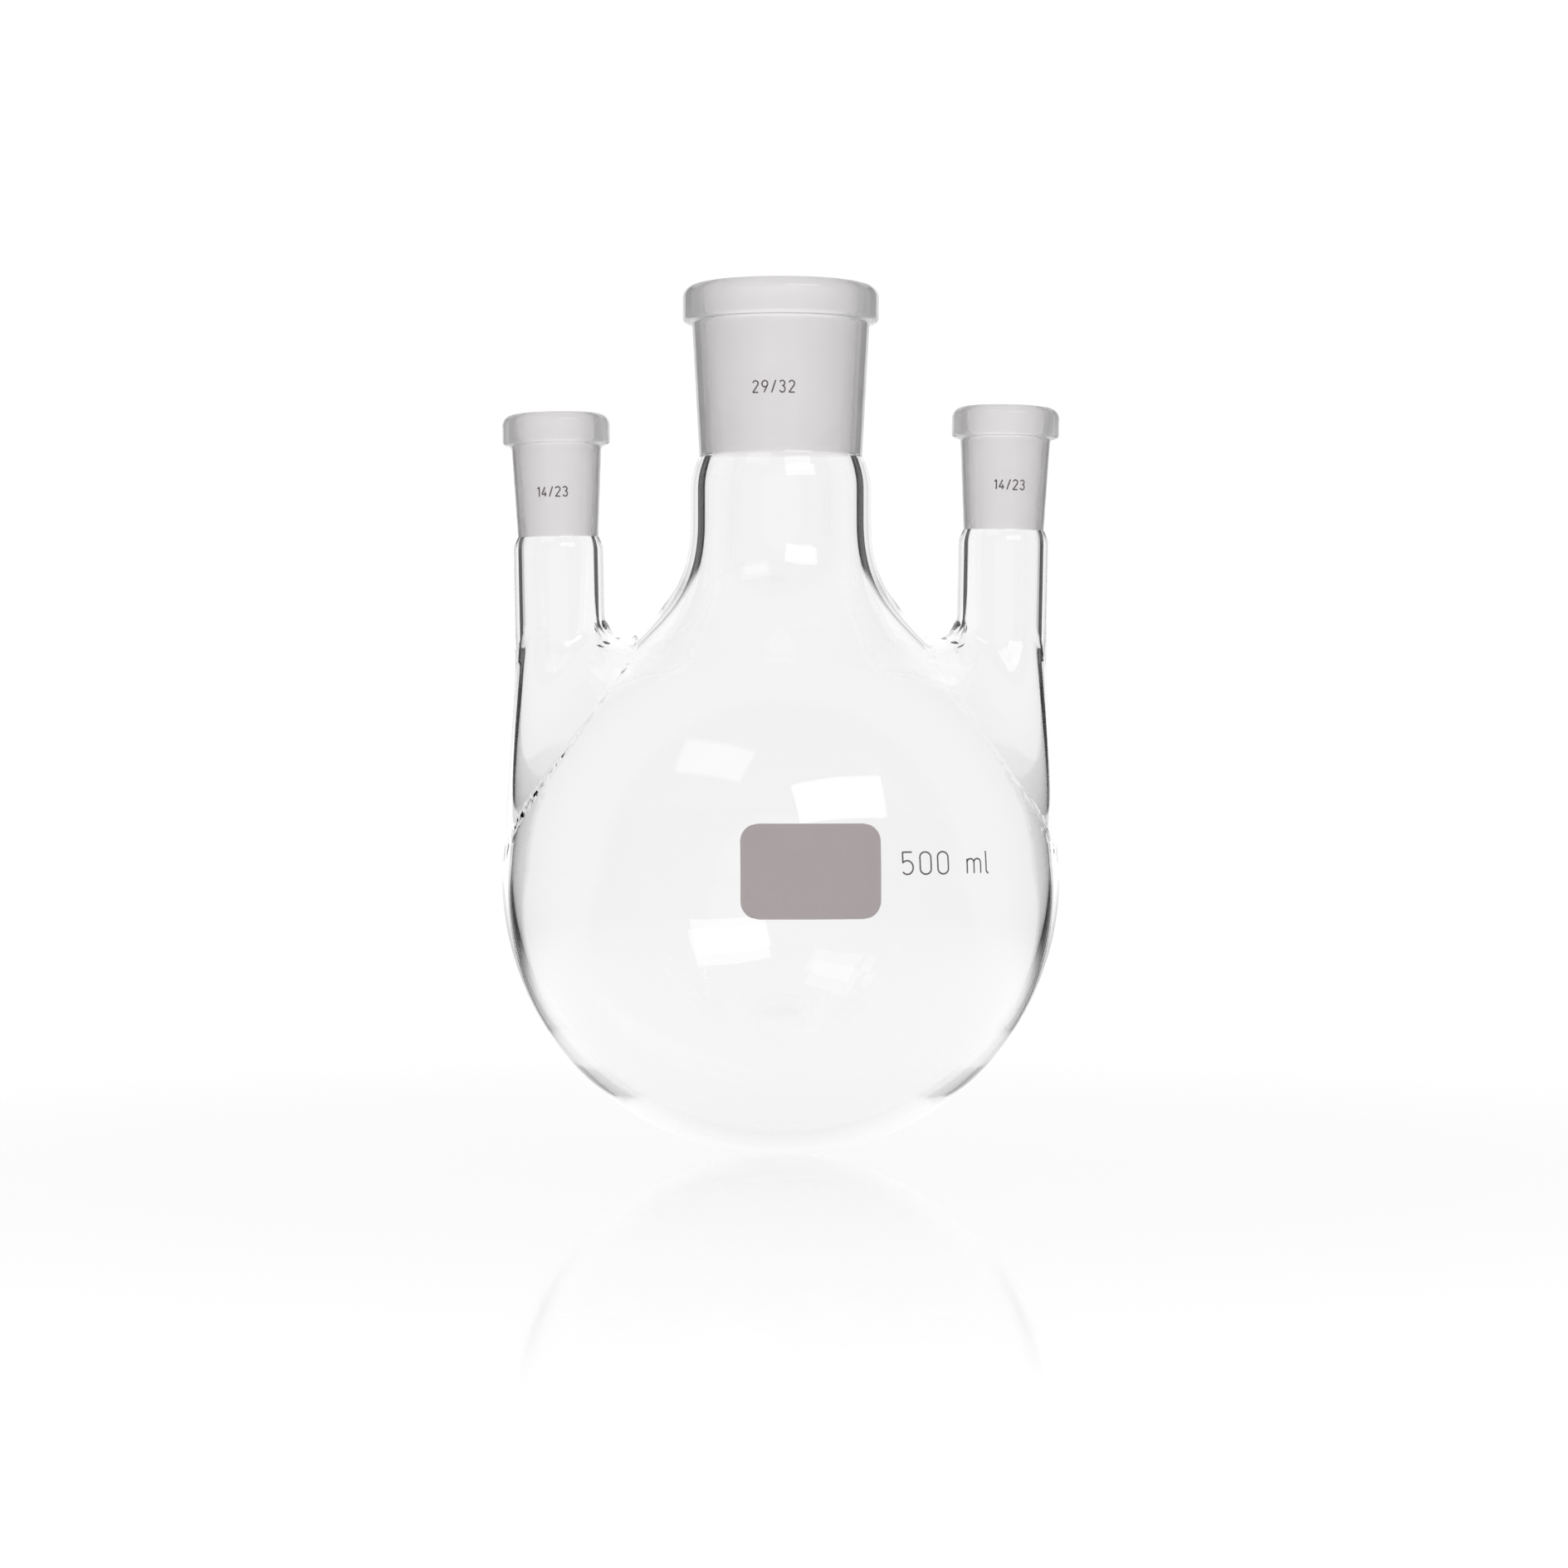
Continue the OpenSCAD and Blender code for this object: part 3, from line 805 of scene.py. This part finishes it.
def printAll():
    wrap = wrapGroup()
    bulbR = body["Bulb radius"]
    ball = {"Radius": bulbR, "Flare": 0.0, "Ball": 1.0}
    enamel = enamelMaterial("fieldEnamel", enamelLook["field"], enamelLook["fieldShade"])
    settings = dict(ball, **{k: v for k, v in writingField.items() if k[0].isupper()})
    settings.update({"Turn": writingField["turn"], "Middle": writingField["middle"] - bulbR,
                     "Material": enamel})
    printed("writing_field", bpy.data.meshes.new("empty"), fieldTree(wrap), settings, Matrix.Identity(4))
    marks = markTree(wrap)
    enamel = enamelMaterial("markEnamel", enamelLook["mark"], enamelLook["markShade"])
    places = dict(zip(("centre", "left", "right"), neckPlaces()))
    for name, mark in sizeMarks.items():
        settings, place = dict(ball), Matrix.Identity(4)
        settings["Middle"] = mark["middle"] - bulbR
        if mark["on"] != "bulb":  # on the cone between the socket's waist and its rim
            neck, place = places[mark["on"]]
            lean = math.radians(body["Lean"] if mark["on"] != "centre" else 0)
            middle = (mark["middle"] - bulbR + body["Side offset"] * math.sin(lean)) / math.cos(lean)
            lowR = boreRadius(neck, neck["boreLength"]) + neck["waistWall"]
            lowZ = neck["top"] - neck["boreLength"]
            highR = boreRadius(neck, neck["rimHeight"]) + neck["mouthWall"]
            highZ = neck["top"] - neck["rimHeight"] - neck["rimOut"] / 2
            flare = (highR - lowR) / (highZ - lowZ)
            settings = {"Ball": 0.0, "Flare": flare, "Middle": middle,
                        "Radius": lowR + flare * (middle - lowZ)}
        settings.update({"Tall": mark["Tall"], "Stroke": mark["Stroke"], "Turn": mark["turn"],
                         "Material": enamel})
        printed(name, strokes(mark), marks, settings, place)
    print("enamel printed")


printAll()


# camera, floor and light

view = {
    "distance": 0.74,       # from the neck axis
    "eye": 0.075,           # height of the camera, which looks level
    "wide": 0.2961,         # what the picture takes in across, at the neck axis
    "aside": 0.0006,        # how far right of the neck axis it stands
    "middle": 0.0700,       # height in the middle of the picture
    "sensor": 36.0,
}


def setCamera():
    lens = bpy.data.cameras.new("camera")
    lens.sensor_width = lens.sensor_height = view["sensor"]
    lens.sensor_fit = "HORIZONTAL"
    lens.lens = view["sensor"] * view["distance"] / view["wide"]
    lens.shift_y = (view["middle"] - view["eye"]) / view["wide"]
    lens.clip_start, lens.clip_end = 0.02, 60
    camera = bpy.data.objects.new("camera", lens)
    camera.location = (view["aside"], -view["distance"], view["eye"])
    camera.rotation_euler = (math.pi / 2, 0, 0)
    scene.collection.objects.link(camera)
    scene.camera = camera


studio = {  # brightness of the room by the angle from straight behind the flask, in degrees
    "backdrop": 1.05,                  # the white that the camera sees
    "through": 0.945,                  # what shows through both walls of the flask
    "white": 1.0,                      # behind the flask
    "dark": 0.0, "darkFrom": 29.0, "darkTo": 50.0,  # the dark surround, which draws the glass's edges
    "darkUp": 20.0, "darkUpTo": 30.0,  # it fades out between these degrees above the horizon
    "side": 0.55, "sideTo": 95.0,
    "front": 0.2, "frontTo": 150.0,
    "wall": 0.5,                       # straight in front
    "edge": 2.0,                       # how softly the white and the dark end
    "sideEdge": 12.0, "frontEdge": 6.0,
    "bounces": 32,                     # enough for light that goes on inside a glass wall
}
floorLook = {
    "size": 24.0,           # metres each way
    "shade": 0.05,          # how much of the light on it the floor gives back
    "glow": 1.0,            # what it gives off, so that it is as pale far away as close by
    "gloss": 1.0,           # its polish at the flask, which fades out over the distance below
    "glossFade": 0.3,
    "glossRough": 0.06, "glossIor": 1.8,
    "yield": 0.12,          # what it gives off less where it is polished
    "near": 0.075, "reach": 0.25,  # from near to reach it changes over to the light of the room above
    "through": 0.895,       # what shows through both walls of the flask
    "frontFrom": 0.04, "frontTo": -0.12, "front": 0.45,  # in front of the flask it is dim
}
windows = {  # direction from the flask, width and height in metres, brightness
    "right": {"towards": (0.387, -0.752, 0.535), "size": (0.88, 0.4), "bright": 2.4},
    "left": {"towards": (-0.41, -0.537, 0.737), "size": (0.68, 0.34), "bright": 0.9},
}
windowAway = 1.4  # metres from the bulb's middle


def ease(g, value, low, high):  # 0 below low, 1 above high
    return g.out("ShaderNodeMapRange", {"interpolation_type": "SMOOTHSTEP"},
                 {"Value": value, "From Min": low, "From Max": high})


def roomLight(g, backwards, upwards):  # brightness in a direction, from its parts in Y and Z
    aside = g.maths("ARCCOSINE", g.least(g.most(backwards, -1), 1)) * (180 / math.pi)
    up = g.maths("ABSOLUTE", g.maths("ARCSINE", upwards)) * (180 / math.pi)
    edge = studio["edge"]
    dark = ease(g, aside, studio["darkFrom"], studio["darkFrom"] + edge) \
        * (1 - ease(g, up, studio["darkUp"], studio["darkUpTo"]))
    level = g.choose(dark, studio["white"], studio["dark"])
    for end, soft, beyond in (("darkTo", edge, "side"), ("sideTo", studio["sideEdge"], "front"),
                              ("frontTo", studio["frontEdge"], "wall")):
        level = g.choose(ease(g, aside, studio[end], studio[end] + soft), level, studio[beyond])
    return level


def fromFlask(g, level, through):  # rays that have come through both walls get a level of their own
    depth = g.out("ShaderNodeLightPath", name="Transmission Depth")
    return g.choose(g.maths("GREATER_THAN", depth, 2.5), level, through)


def setWorld():
    world = bpy.data.worlds.new("studio")
    scene.world = world
    world.use_nodes = True
    g = Graph(world.node_tree)
    backwards, upwards = g.split(g.out("ShaderNodeTexCoord", name="Generated"))[1:]
    seen = g.out("ShaderNodeLightPath", name="Is Camera Ray")
    level = fromFlask(g, roomLight(g, backwards, upwards), studio["through"])
    light = g.node("ShaderNodeBackground", None, {
        "Color": (1, 1, 1, 1), "Strength": g.choose(seen, level, studio["backdrop"])})
    g.node("ShaderNodeOutputWorld", None, {"Surface": light.outputs[0]})


def makeFloor():
    mesh = bpy.data.meshes.new("floor")
    half = floorLook["size"] / 2
    mesh.from_pydata([(x * half, y * half, 0) for x, y in ((-1, -1), (1, -1), (1, 1), (-1, 1))], [],
                     [(0, 1, 2, 3)])
    floor = bpy.data.objects.new("floor", mesh)
    scene.collection.objects.link(floor)
    material, g = newMaterial("paleFloor")
    x, y = g.split(g.out("ShaderNodeTexCoord", name="Object"))[:2]
    far = g.root(x * x + y * y)
    seen = g.out("ShaderNodeLightPath", name="Is Camera Ray")
    polish = floorLook["gloss"] * (1 - g.least(far / floorLook["glossFade"], 1)) * seen
    before = ease(g, -y, -floorLook["frontFrom"], -floorLook["frontTo"])
    under = g.choose(before, 1.0, floorLook["front"])
    away = ease(g, far, floorLook["near"], floorLook["reach"])
    room = g.choose(away, under, roomLight(g, y / g.most(far, 0.001), 0.0))
    lit = g.choose(seen, fromFlask(g, room, floorLook["through"]), 1 - floorLook["yield"] * polish)
    shader = g.node("ShaderNodeBsdfPrincipled", None, {
        "Base Color": (floorLook["shade"],) * 3 + (1,), "Roughness": 0.5, "Specular IOR Level": 0.0,
        "Coat Weight": polish, "Coat Roughness": floorLook["glossRough"], "Coat IOR": floorLook["glossIor"],
        "Emission Color": g.join(lit, lit, lit), "Emission Strength": floorLook["glow"]})
    g.node("ShaderNodeOutputMaterial", None, {"Surface": shader.outputs[0]})
    mesh.materials.append(material)


def addWindows():
    middle = Vector((0, 0, body["Bulb radius"] * mm))
    for name, window in windows.items():
        light = bpy.data.lights.new(name, "AREA")
        wide, tall = window["size"]
        light.shape, light.size, light.size_y = "RECTANGLE", wide, tall
        light.energy = window["bright"] * math.pi * wide * tall
        lamp = bpy.data.objects.new(name + "Window", light)
        towards = Vector(window["towards"]).normalized()
        lamp.location = middle + towards * windowAway
        lamp.rotation_euler = (-towards).to_track_quat("-Z", "Y").to_euler()
        lamp.visible_camera = False
        scene.collection.objects.link(lamp)


setCamera()
setWorld()
addWindows()
makeFloor()
scene.view_settings.view_transform = "Standard"
for kind in ("max_bounces", "transmission_bounces", "glossy_bounces"):
    setattr(scene.cycles, kind, studio["bounces"])
print("studio set")
